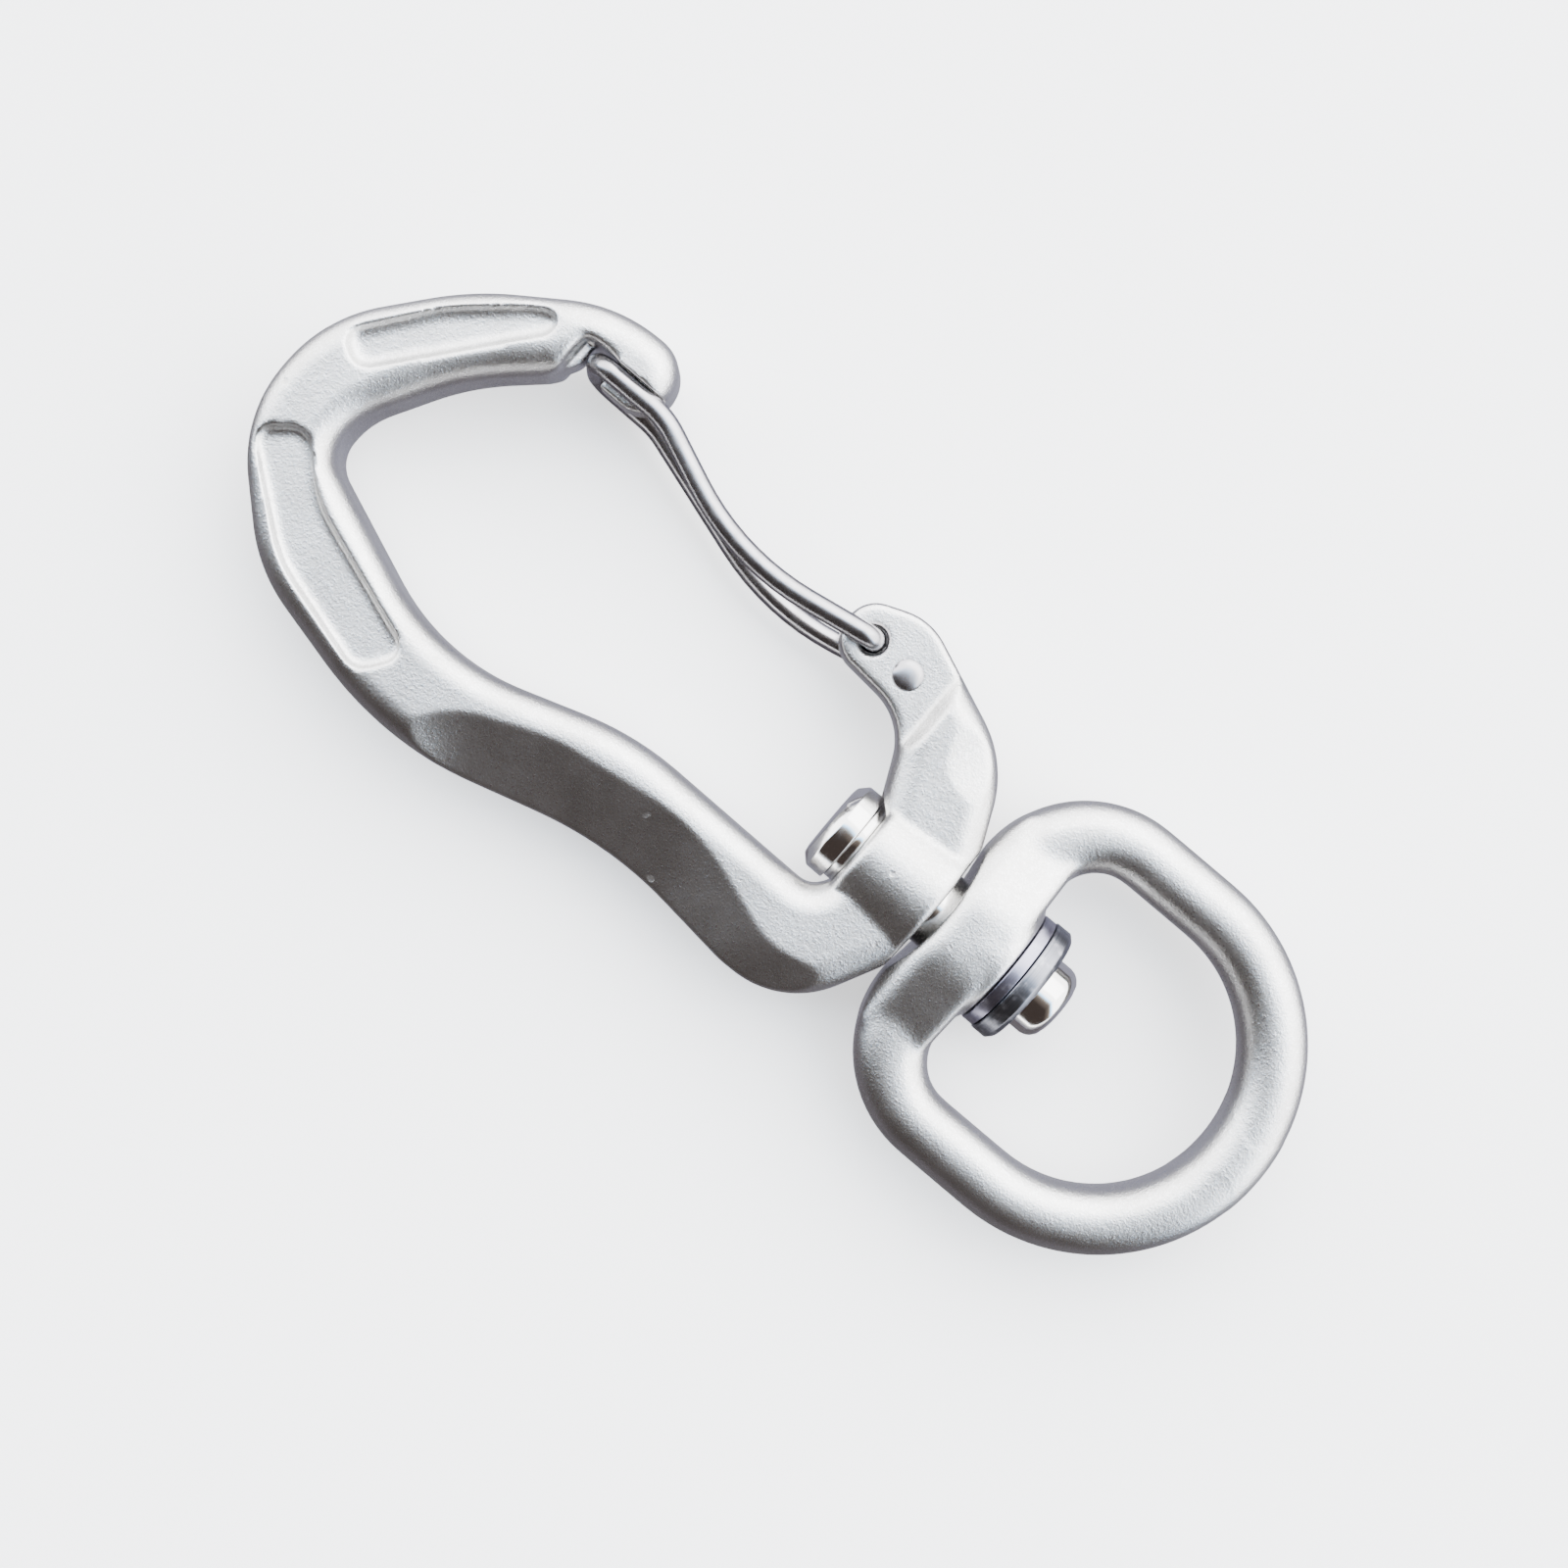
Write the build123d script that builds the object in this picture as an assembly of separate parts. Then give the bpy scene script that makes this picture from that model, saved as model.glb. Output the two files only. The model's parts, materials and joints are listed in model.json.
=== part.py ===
"""Swivel-eye snap hook with a wire gate: a forged light-alloy hook, a bent spring-wire gate,
a headed swivel pin with its washers, and a forged D-shaped swivel eye.

Everything is drawn about the swivel axis: X runs along that axis from the hook to the eye,
Y points to the gate side, and Z is square to the plane of the hook. The origin of the drawing is on the
axis at the collar's outer face. At the end the whole assembly moves so that it lies on Z = 0 with its
bounding box centred on X = Y = 0. Millimetres throughout.
"""
from build123d import *
import math
import os

# ---------------------------------------------------------------- driving dimensions
# Hook forging
HALF_THICK = 4.9            # half of the forging's thickness
EDGE_ROUND = 2.7            # rounding of the forging's long edges
COLLAR_LENGTH = 8.7         # swivel collar, measured along the axis
COLLAR_R_OUTER_END = 6.8    # radius at the face that meets the eye
COLLAR_R_INNER_END = 6.3    # radius at the face under the pin's head
COLLAR_EDGE = 0.5
SPOT_FACE_R = 5.2           # machined seat under the pin's head
POCKET_DEPTH = 1.2          # lightening pockets in both sides
TOP_POCKET_COVE = 1.1       # rounding between each pocket's wall and its floor
SPINE_POCKET_COVE = 0.7
SPINE_FACET_TILT = 27       # degrees that the long facets lean from flat, towards the outer edge
NECK_FACET_TILT = 15
FACET_REACH = 3.4           # how far down the facets are cut

# Gate lug, where the wire is anchored
LUG_HALF_THICK = 3.4
LUG_FACET_END_X = -12.0     # the flat facets end here
LUG_RAMP_TOP_X = -9.8       # and ramp up to full thickness here
HOLE_CLEARANCE = 0.08
HOLE_MOUTH_R = 1.42         # the outer hole is opened out where the wire goes in
HOLE_MOUTH_DEPTH = 0.9
PIVOT_X, PIVOT_Y = -20.05, 15.05        # hole of the front leg: the gate's hinge axis
ANCHOR_X, ANCHOR_Y = -15.55, 14.6       # hole of the back leg

# Nose
TONGUE_HALF_THICK = 1.8     # the tongue stands inside the wire loop
SHOULDER_Y = 19.35          # the wire's legs close against this shoulder
# The notch that takes the loop: its back wall leans in from the bow's inner edge.
NOTCH = [(-58.9, 13.8, 0), (-57.05, 17.2, 1.5), (-57.05, 19.5, 0.6), (-54.5, 19.5, 0), (-54.5, 12, 0), (-58.9, 12, 0)]

# Gate wire
WIRE_R = 1.05
LEG_Z_NOSE = 3.3            # leg centreline to mid-plane, at the nose
LEG_GAP = 0.25              # between a leg and the lug's facet
LEG_Z_LUG = LUG_HALF_THICK + LEG_GAP + WIRE_R
LOOP_X = -55.85             # centreline of the loop's cross bar
LOOP_BEND_R = 2.0
ELBOW_R = 1.2
WIRE_HEAD_R = 1.45          # upset ends that keep the wire in its holes
WIRE_HEAD_THICK = 0.45
HEAD_GAP = 0.03
SPLIT_X = -19.0             # the moving wire stops here on the back leg
ANCHOR_LEG_X = -17.2        # and the anchored end starts here

# Swivel pin, along X
SHANK_R = 3.8
BORE_CLEARANCE = 0.06
HEAD_R = 4.7
HEAD_THICK = 2.7
HEAD_CROWN_R = 3.7
HEAD_CROWN = 0.95
PIN_END_X = 15.1
PIN_END_ROUND = 1.3
HEAD_WASHER_R = 4.3
HEAD_WASHER_THICK = 0.9
END_PLAY = 0.05             # between faces that turn on each other

# Swivel eye
EYE_FACE_X = 0.25           # front face of the eye
EYE_REAR_X = 39.3
EYE_HALF_HEIGHT = 19.4
EYE_INNER_HALF_HEIGHT = 13.1
EYE_INNER_X = 7.9
EYE_FRONT_CORNER_R = 12.0
EYE_INNER_CORNER_R = 4.6
EYE_HALF_THICK = 3.9
EYE_ROUND = 2.95
EYE_CROWN_ROUND = 2.7
EYE_BOSS_HALF_THICK = 6.4   # the front bar is crowned up to this around the bore
EYE_BOSS_FLAT_Y = 3.2       # half the width of the crown's top
EYE_BOSS_FOOT_Y = 12.4      # where the crown has sunk into the ring
EYE_SEAT_X = 8.6            # machined seat for the inner washers
EYE_SEAT_R = 6.5
EYE_DISH_SPHERE_R = 13.0    # dished recess that faces the collar
EYE_DISH_FLOOR_X = 2.4

# Washers inside the eye
INNER_WASHER_R = 6.1
INNER_WASHER_THICK = 1.2
RETAINER_R = 6.25
RETAINER_THICK = 2.0
RETAINER_EDGE = 0.5

PARTS_DIR = "parts"


# ---------------------------------------------------------------- helpers
def tangent_run(corners, closed):
    """Edges of a run of straight lines whose corners are rounded by tangent arcs.

    Each corner is (point, radius). An open run keeps its two end points sharp.
    """
    points = [Vector(*point) for point, _ in corners]
    count = len(points)
    starts, ends, edges = list(points), list(points), []
    for i, (_, radius) in enumerate(corners):
        if not radius:
            continue
        corner = points[i]
        back = (points[i - 1] - corner).normalized()
        ahead = (points[(i + 1) % count] - corner).normalized()
        half_angle = math.radians(back.get_angle(ahead)) / 2
        reach = radius / math.tan(half_angle)
        middle = corner + (back + ahead).normalized() * (radius / math.sin(half_angle) - radius)
        starts[i] = corner + back * reach
        ends[i] = corner + ahead * reach
        edges.append(ThreePointArc(starts[i], middle, ends[i]))
    for i in range(0 if closed else 1, count):
        if (starts[i] - ends[i - 1]).length > 1e-4:
            edges.append(Line(ends[i - 1], starts[i]))
    return edges


def rounded_face(corners):
    """A flat face from (x, y, radius) corners."""
    return make_face(tangent_run([((x, y), radius) for x, y, radius in corners], closed=True))


def slab(sketch, half_thick):
    """The sketch extruded the same distance to both sides of the hook's plane."""
    return Pos(0, 0, -half_thick) * extrude(sketch, amount=2 * half_thick, dir=(0, 0, 1))


def lathe(profile):
    """A solid of revolution about the X axis, from (x, radius) corners."""
    return revolve(make_face(Polyline(*profile, close=True)), Axis.X)


def block(x0, x1, y0, y1, z0, z1):
    """A box from its six limits."""
    return Pos((x0 + x1) / 2, (y0 + y1) / 2, (z0 + z1) / 2) * Box(x1 - x0, y1 - y0, z1 - z0)


def cut_both_sides(body, cutter):
    """Cut the solid and its mirror image across the hook's plane."""
    return body - cutter - mirror(cutter, about=Plane.XY)


def washer(x_start, thick, outer_r, edge):
    """A flat ring on the pin with its outer edges broken."""
    x_end = x_start + thick
    inner_r = SHANK_R + BORE_CLEARANCE
    return lathe([
        (x_start, inner_r), (x_start, outer_r - edge), (x_start + edge, outer_r),
        (x_end - edge, outer_r), (x_end, outer_r - edge), (x_end, inner_r),
    ])


# ---------------------------------------------------------------- hook forging
# The forging seen from its side: along the spine, round the bow and the nose, back along the inside,
# past the pin's seat, up the neck, round the gate lug and home to the collar's face.
HOOK_CORNERS = [
    (0, -7.1, 0), (-4.6, -16.25, 9.5), (-11.8, -16.5, 12), (-26.6, -15.0, 38), (-48.4, -21.2, 34),
    (-67.3, -16.5, 16), (-77.7, -6.6, 13.5), (-77.7, 5.2, 15), (-68.8, 15.9, 30), (-57.7, 23.6, 15.5),
    (-48.7, 23.6, 3.6), (-48.7, 16.6, 3.15), (-56.0, 16.7, 2.5), (-64.1, 9.2, 25), (-69.2, 0.5, 8),
    (-69.2, -4.1, 3.3), (-49.9, -11.85, 22), (-31.3, -5.7, 30), (-8.9, -6.0, 2.2), (-8.9, 2.2, 4),
    (-13.2, 11.4, 6), (-23.2, 12.2, 3.1), (-23.2, 17.6, 3.1), (-17.2, 20.0, 6), (-3.45, 14.4, 11),
    (0, 6.8, 0),
]
TOP_POCKET = [
    (-59.7, 20.3, 1.3), (-60.6, 16.9, 2), (-71.9, 3.2, 1.9), (-75.2, 5.4, 1.5), (-69.5, 12.9, 12),
    (-63.5, 18.3, 6),
]
SPINE_POCKET = [
    (-71.8, -3.3, 2.0), (-66.6, -8.1, 12), (-51.2, -13.5, 1.7), (-54.4, -17.8, 2.2),
    (-66.1, -14.4, 12), (-75.9, -6.7, 1.5),
]
# Each facet starts at a crease on the flat and leans down to the outer edge; the rest of the outline lies
# well outside the forging.
SPINE_CREASE = [
    (-49.4, -22, 0), (-46.0, -14.7, 9.5), (-36.5, -10.6, 20), (-21.5, -8.3, 22), (-9.5, -12.4, 7),
    (-1.2, -10.5, 0), (14, -7, 0), (14, -45, 0), (-60, -45, 0),
]
NECK_CREASE = [(-11.0, 19.5, 0), (-7.6, 9.8, 3.6), (-0.6, 8.6, 0), (14, 6, 0), (14, 40, 0), (-18, 40, 0)]


def lug_facet():
    """What is milled off one side of the gate lug: a flat with a ramp at its neck end."""
    top = HALF_THICK + 1
    profile = make_face(Polyline(
        (-26, LUG_HALF_THICK), (LUG_FACET_END_X, LUG_HALF_THICK), (LUG_RAMP_TOP_X, top), (-26, top),
        close=True,
    ))
    return extrude(Plane.XZ.offset(-24) * profile, amount=16)


def leaning_facet(outline, tilt):
    """What a facet takes off one side: a tapered block whose wall leans from the crease outwards."""
    crease = Pos(0, 0, HALF_THICK) * rounded_face(outline)
    return (extrude(crease, amount=FACET_REACH, dir=(0, 0, -1), taper=90 - tilt)
            + extrude(crease, amount=2, dir=(0, 0, 1)))


def hook_body():
    """The one-piece forging with its machined bore, seat, notch and wire holes."""
    body = slab(rounded_face(HOOK_CORNERS), HALF_THICK)
    long_edges = [e for e in body.edges()
                  if abs(abs(e.center().Z) - HALF_THICK) < 0.01 and abs(e.center().X) > 0.01]
    body = fillet(long_edges, EDGE_ROUND)

    body = body + lathe([
        (-COLLAR_LENGTH, 0), (-COLLAR_LENGTH, COLLAR_R_INNER_END - COLLAR_EDGE),
        (COLLAR_EDGE - COLLAR_LENGTH, COLLAR_R_INNER_END), (-COLLAR_EDGE, COLLAR_R_OUTER_END),
        (0, COLLAR_R_OUTER_END - COLLAR_EDGE), (0, 0),
    ])
    spot_face = Pos(-COLLAR_LENGTH - 2.5, 0, 0) * Rot(0, 90, 0) * Cylinder(SPOT_FACE_R, 5)
    bore = Rot(0, 90, 0) * Cylinder(SHANK_R + BORE_CLEARANCE, 40)
    body = body - spot_face - bore

    for outline, cove_r in ((TOP_POCKET, TOP_POCKET_COVE), (SPINE_POCKET, SPINE_POCKET_COVE)):
        floor = Pos(0, 0, HALF_THICK - POCKET_DEPTH) * rounded_face(outline)
        pocket = extrude(floor, amount=POCKET_DEPTH + 1, dir=(0, 0, 1))
        cove = [e for e in pocket.edges() if e.center().Z < HALF_THICK - POCKET_DEPTH + 0.01]
        body = cut_both_sides(body, fillet(cove, cove_r))
    for outline, tilt in ((SPINE_CREASE, SPINE_FACET_TILT), (NECK_CREASE, NECK_FACET_TILT)):
        body = cut_both_sides(body, leaning_facet(outline, tilt))
    body = cut_both_sides(body, lug_facet())

    body = cut_both_sides(body, block(-58, -45, 12, SHOULDER_Y, TONGUE_HALF_THICK, 8))
    body = body - slab(rounded_face(NOTCH), HALF_THICK + 1)

    hole_r = WIRE_R + HOLE_CLEARANCE
    for x, y in ((PIVOT_X, PIVOT_Y), (ANCHOR_X, ANCHOR_Y)):
        body = body - Pos(x, y, 0) * Cylinder(hole_r, 20)
    mouth = Cylinder(HOLE_MOUTH_R, 4)
    return body - Pos(PIVOT_X, PIVOT_Y, LUG_HALF_THICK - HOLE_MOUTH_DEPTH + 2) * mouth


# ---------------------------------------------------------------- gate wire
FRONT_LEG = [(-47.7, 18.25, 9), (-34.4, 12.6, 26)]
BACK_LEG = [(-48.6, 17.55, 9), (-29.5, 11.6, 26)]
LOOP_FRONT_Y, LOOP_BACK_Y = 18.25, 17.65


def between(x, start, end):
    """The point at x on the straight line from start to end."""
    share = (x - start[0]) / (end[0] - start[0])
    return tuple(a + share * (b - a) for a, b in zip(start, end))


def leg_z(x):
    """How far a leg stands from the mid-plane at x."""
    share = (x - LOOP_X) / (PIVOT_X - LOOP_X)
    return LEG_Z_NOSE + share * (LEG_Z_LUG - LEG_Z_NOSE)


def sweep_wire(corners):
    """The round wire along a run of lines and tangent arcs."""
    path = Wire(tangent_run(corners, closed=False))
    start = Plane(origin=path @ 0, z_dir=path % 0)
    return sweep(start * Circle(WIRE_R), path=path)


def upset_head(x, y, side):
    """The flattened end that keeps the wire in its hole, on the +Z or the -Z side of the lug."""
    z = LUG_HALF_THICK + HEAD_GAP
    head = Pos(x, y, side * (z + WIRE_HEAD_THICK / 2)) * Cylinder(WIRE_HEAD_R, WIRE_HEAD_THICK)
    rim = head.edges().filter_by(GeomType.CIRCLE).sort_by(Axis.Z)[-1 if side > 0 else 0]
    return fillet(rim, 0.4)


def gate_wire():
    """The moving wire: hinge stub, front leg, loop round the nose, and back leg."""
    back = [(x, y, -leg_z(x)) for x, y, _ in BACK_LEG]
    anchor = (ANCHOR_X, ANCHOR_Y, -LEG_Z_LUG)
    corners = [
        ((PIVOT_X, PIVOT_Y, -LUG_HALF_THICK - 0.2), 0),
        ((PIVOT_X, PIVOT_Y, LEG_Z_LUG), ELBOW_R),
        ((FRONT_LEG[1][0], FRONT_LEG[1][1], leg_z(FRONT_LEG[1][0])), FRONT_LEG[1][2]),
        ((FRONT_LEG[0][0], FRONT_LEG[0][1], leg_z(FRONT_LEG[0][0])), FRONT_LEG[0][2]),
        ((LOOP_X, LOOP_FRONT_Y, LEG_Z_NOSE), LOOP_BEND_R),
        ((LOOP_X, LOOP_BACK_Y, -LEG_Z_NOSE), LOOP_BEND_R),
        (back[0], BACK_LEG[0][2]),
        (back[1], BACK_LEG[1][2]),
        (between(SPLIT_X, back[1], anchor), 0),
    ]
    return sweep_wire(corners) + upset_head(PIVOT_X, PIVOT_Y, -1)


def gate_wire_anchor_end():
    """The last of the back leg: it turns into its own hole, which makes the wire its own spring."""
    back = (BACK_LEG[1][0], BACK_LEG[1][1], -leg_z(BACK_LEG[1][0]))
    anchor = (ANCHOR_X, ANCHOR_Y, -LEG_Z_LUG)
    corners = [
        (between(ANCHOR_LEG_X, back, anchor), 0),
        (anchor, ELBOW_R),
        ((ANCHOR_X, ANCHOR_Y, LUG_HALF_THICK + 0.2), 0),
    ]
    return sweep_wire(corners) + upset_head(ANCHOR_X, ANCHOR_Y, 1)


# ---------------------------------------------------------------- swivel pin and washers
UNDER_HEAD_X = -COLLAR_LENGTH - HEAD_WASHER_THICK - END_PLAY * 2
RETAINER_X = EYE_SEAT_X + INNER_WASHER_THICK + END_PLAY * 3


def swivel_pin():
    """The headed pin that the eye turns on."""
    head_x = UNDER_HEAD_X - HEAD_THICK
    pin = lathe([
        (head_x, 0), (head_x, HEAD_CROWN_R), (head_x + HEAD_CROWN, HEAD_R), (UNDER_HEAD_X, HEAD_R),
        (UNDER_HEAD_X, SHANK_R), (PIN_END_X, SHANK_R), (PIN_END_X, 0),
    ])
    tail_edge = pin.edges().filter_by(GeomType.CIRCLE).sort_by(Axis.X)[-1]
    return fillet(tail_edge, PIN_END_ROUND)


def head_washer():
    """The washer between the pin's head and its seat in the hook."""
    return washer(-COLLAR_LENGTH - HEAD_WASHER_THICK - END_PLAY, HEAD_WASHER_THICK, HEAD_WASHER_R, 0.15)


def inner_washer():
    """The loose bearing washer against the eye's seat."""
    return washer(EYE_SEAT_X + END_PLAY, INNER_WASHER_THICK, INNER_WASHER_R, 0.15)


def retaining_washer():
    """The thick washer pressed on the pin's tail, which holds the eye on."""
    x_end = RETAINER_X + RETAINER_THICK
    return lathe([
        (RETAINER_X, SHANK_R), (RETAINER_X, RETAINER_R - 0.15), (RETAINER_X + 0.15, RETAINER_R),
        (x_end - RETAINER_EDGE, RETAINER_R), (x_end, RETAINER_R - RETAINER_EDGE), (x_end, SHANK_R),
    ])


# ---------------------------------------------------------------- swivel eye
def eye_outline():
    """The outer edge of the eye: square-shouldered in front, half-round behind."""
    rear_r = EYE_HALF_HEIGHT - 0.05
    return rounded_face([
        (EYE_FACE_X, EYE_HALF_HEIGHT, EYE_FRONT_CORNER_R), (EYE_REAR_X, EYE_HALF_HEIGHT, rear_r),
        (EYE_REAR_X, -EYE_HALF_HEIGHT, rear_r), (EYE_FACE_X, -EYE_HALF_HEIGHT, EYE_FRONT_CORNER_R),
    ])


def eye_window():
    """The opening that takes the webbing or rope."""
    rear_x = EYE_REAR_X - (EYE_HALF_HEIGHT - EYE_INNER_HALF_HEIGHT)
    rear_r = EYE_INNER_HALF_HEIGHT - 0.05
    return rounded_face([
        (EYE_INNER_X, EYE_INNER_HALF_HEIGHT, EYE_INNER_CORNER_R), (rear_x, EYE_INNER_HALF_HEIGHT, rear_r),
        (rear_x, -EYE_INNER_HALF_HEIGHT, rear_r), (EYE_INNER_X, -EYE_INNER_HALF_HEIGHT, EYE_INNER_CORNER_R),
    ])


def crowned_bar():
    """The front bar's crown: thickest around the bore, and sinking into the ring on both sides."""
    low, high = EYE_HALF_THICK - 0.8, EYE_BOSS_HALF_THICK
    flat, foot = EYE_BOSS_FLAT_Y, EYE_BOSS_FOOT_Y
    section = rounded_face([
        (-foot, low, 0), (-flat, high, 9), (flat, high, 9), (foot, low, 0),
        (foot, -low, 0), (flat, -high, 9), (-flat, -high, 9), (-foot, -low, 0),
    ])
    bar = extrude(Plane.YZ.offset(EYE_FACE_X) * section, amount=EYE_INNER_X - EYE_FACE_X)
    for face_x, radius in ((EYE_FACE_X, EYE_CROWN_ROUND), (EYE_INNER_X, 1.2)):
        rim = [e for e in bar.edges()
               if abs(e.center().X - face_x) < 0.01 and abs(e.center().Y) < foot - 0.01]
        bar = fillet(rim, radius)
    return bar


def swivel_eye():
    """The D-shaped forging that turns on the pin."""
    ring = slab(eye_outline() - eye_window(), EYE_HALF_THICK)
    long_edges = [e for e in ring.edges() if abs(abs(e.center().Z) - EYE_HALF_THICK) < 0.01]
    ring = fillet(long_edges, EYE_ROUND)
    bar = crowned_bar() & slab(eye_outline(), EYE_BOSS_HALF_THICK + 1)
    seat = lathe([(5, 0), (5, EYE_SEAT_R), (EYE_SEAT_X - 0.3, EYE_SEAT_R),
                  (EYE_SEAT_X, EYE_SEAT_R - 0.3), (EYE_SEAT_X, 0)])
    dish = Pos(EYE_DISH_FLOOR_X - EYE_DISH_SPHERE_R, 0, 0) * Sphere(EYE_DISH_SPHERE_R)
    bore = Rot(0, 90, 0) * Cylinder(SHANK_R + BORE_CLEARANCE, 40)
    return ring + bar + seat - dish - bore


# ---------------------------------------------------------------- assembly
def solids():
    """Every sub-part, in the drawing's own frame."""
    return {
        "hook_body": hook_body(),
        "gate_wire": gate_wire(),
        "gate_wire_anchor_end": gate_wire_anchor_end(),
        "swivel_pin": swivel_pin(),
        "head_washer": head_washer(),
        "inner_washer": inner_washer(),
        "retaining_washer": retaining_washer(),
        "swivel_eye": swivel_eye(),
    }


def main():
    """Build, move to the shared frame, write, and print where the axes and mounts are."""
    parts = solids()
    boxes = [shape.bounding_box() for shape in parts.values()]
    low = Vector(*(min(getattr(b.min, axis) for b in boxes) for axis in "XYZ"))
    high = Vector(*(max(getattr(b.max, axis) for b in boxes) for axis in "XYZ"))
    shift = Vector(-(low.X + high.X) / 2, -(low.Y + high.Y) / 2, -low.Z)
    os.makedirs(PARTS_DIR, exist_ok=True)
    for name, shape in parts.items():
        moved = Pos(*shift) * shape
        export_step(moved, os.path.join(PARTS_DIR, name + ".step"))
        print(f"{name:24s} volume {shape.volume:9.2f} mm3  solids {len(shape.solids())}  ok {shape.is_valid}")
    print("size", high - low)
    print("shift", shift)
    for label, point in (("swivel axis, collar face", (0, 0, 0)), ("gate hinge", (PIVOT_X, PIVOT_Y, 0)),
                         ("gate loop", (LOOP_X, LOOP_FRONT_Y, 0)), ("eye centre", (EYE_REAR_X - 19.4, 0, 0))):
        print(f"{label:26s}", Vector(*point) + shift)


if __name__ == "__main__":
    main()
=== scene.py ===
"""Looks of a swivel-eye snap hook: blasted light-alloy forgings, a bent spring-wire gate, a polished
swivel pin and dark turned washers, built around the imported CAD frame.

Lengths in the classes are millimetres; MM turns them into metres.
"""

import enum
import json
import logging
import math
from dataclasses import dataclass, field
from typing import Any, Callable, Optional, Sequence, Union

import bmesh
import bpy
from mathutils import Matrix, Vector

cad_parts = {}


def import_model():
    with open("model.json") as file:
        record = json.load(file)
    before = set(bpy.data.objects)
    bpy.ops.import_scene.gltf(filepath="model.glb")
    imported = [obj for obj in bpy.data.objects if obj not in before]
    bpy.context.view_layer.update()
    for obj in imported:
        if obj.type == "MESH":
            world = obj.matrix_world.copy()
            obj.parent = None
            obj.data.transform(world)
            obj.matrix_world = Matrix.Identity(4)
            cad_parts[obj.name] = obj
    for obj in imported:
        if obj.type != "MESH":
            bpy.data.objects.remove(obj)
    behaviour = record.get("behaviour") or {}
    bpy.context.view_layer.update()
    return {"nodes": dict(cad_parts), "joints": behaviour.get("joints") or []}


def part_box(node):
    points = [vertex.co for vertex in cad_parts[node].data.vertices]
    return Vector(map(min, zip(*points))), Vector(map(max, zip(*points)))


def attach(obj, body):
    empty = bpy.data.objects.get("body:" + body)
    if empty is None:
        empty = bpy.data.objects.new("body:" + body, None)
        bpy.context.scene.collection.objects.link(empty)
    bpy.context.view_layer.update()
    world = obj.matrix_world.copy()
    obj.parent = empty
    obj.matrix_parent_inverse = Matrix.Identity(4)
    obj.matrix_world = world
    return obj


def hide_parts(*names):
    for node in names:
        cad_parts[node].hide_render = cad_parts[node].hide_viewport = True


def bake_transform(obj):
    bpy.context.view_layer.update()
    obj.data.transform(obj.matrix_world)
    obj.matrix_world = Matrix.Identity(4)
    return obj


MM = 0.001
LOG = logging.getLogger("snap_hook")

Number = Union[int, float]


# ---------------------------------------------------------------------------------- shader maths
class Signal:
    """One output socket, with arithmetic that adds Math nodes to its tree."""

    def __init__(self, bench: "NodeBench", socket: bpy.types.NodeSocket) -> None:
        """Wrap a socket.

        Args:
            bench: The node bench that owns the socket.
            socket: The output socket to wrap.
        """
        self.bench = bench
        self.socket = socket

    def _math(self, operation: str, *values: Union["Signal", Number]) -> "Signal":
        """Add one Math node.

        Args:
            operation: The Math node's operation.
            values: Its inputs, in order.

        Returns:
            The node's output.
        """
        sockets = {i: value for i, value in enumerate(values)}
        return self.bench.node("ShaderNodeMath", {"operation": operation}, sockets)

    def __add__(self, other: Union["Signal", Number]) -> "Signal":
        """Self plus other."""
        return self._math("ADD", self, other)

    __radd__ = __add__

    def __sub__(self, other: Union["Signal", Number]) -> "Signal":
        """Self minus other."""
        return self._math("SUBTRACT", self, other)

    def __rsub__(self, other: Number) -> "Signal":
        """Other minus self."""
        return self._math("SUBTRACT", other, self)

    def __mul__(self, other: Union["Signal", Number]) -> "Signal":
        """Self times other."""
        return self._math("MULTIPLY", self, other)

    __rmul__ = __mul__

    def sqrt(self) -> "Signal":
        """The square root."""
        return self._math("SQRT", self)

    def step(self, low: float, high: float) -> "Signal":
        """A smooth step from 0 to 1.

        Args:
            low: The value where the step starts.
            high: The value where it ends.

        Returns:
            The stepped value.
        """
        settings = {"interpolation_type": "SMOOTHSTEP"}
        return self.bench.node("ShaderNodeMapRange", settings, {0: self, 1: low, 2: high})


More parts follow.
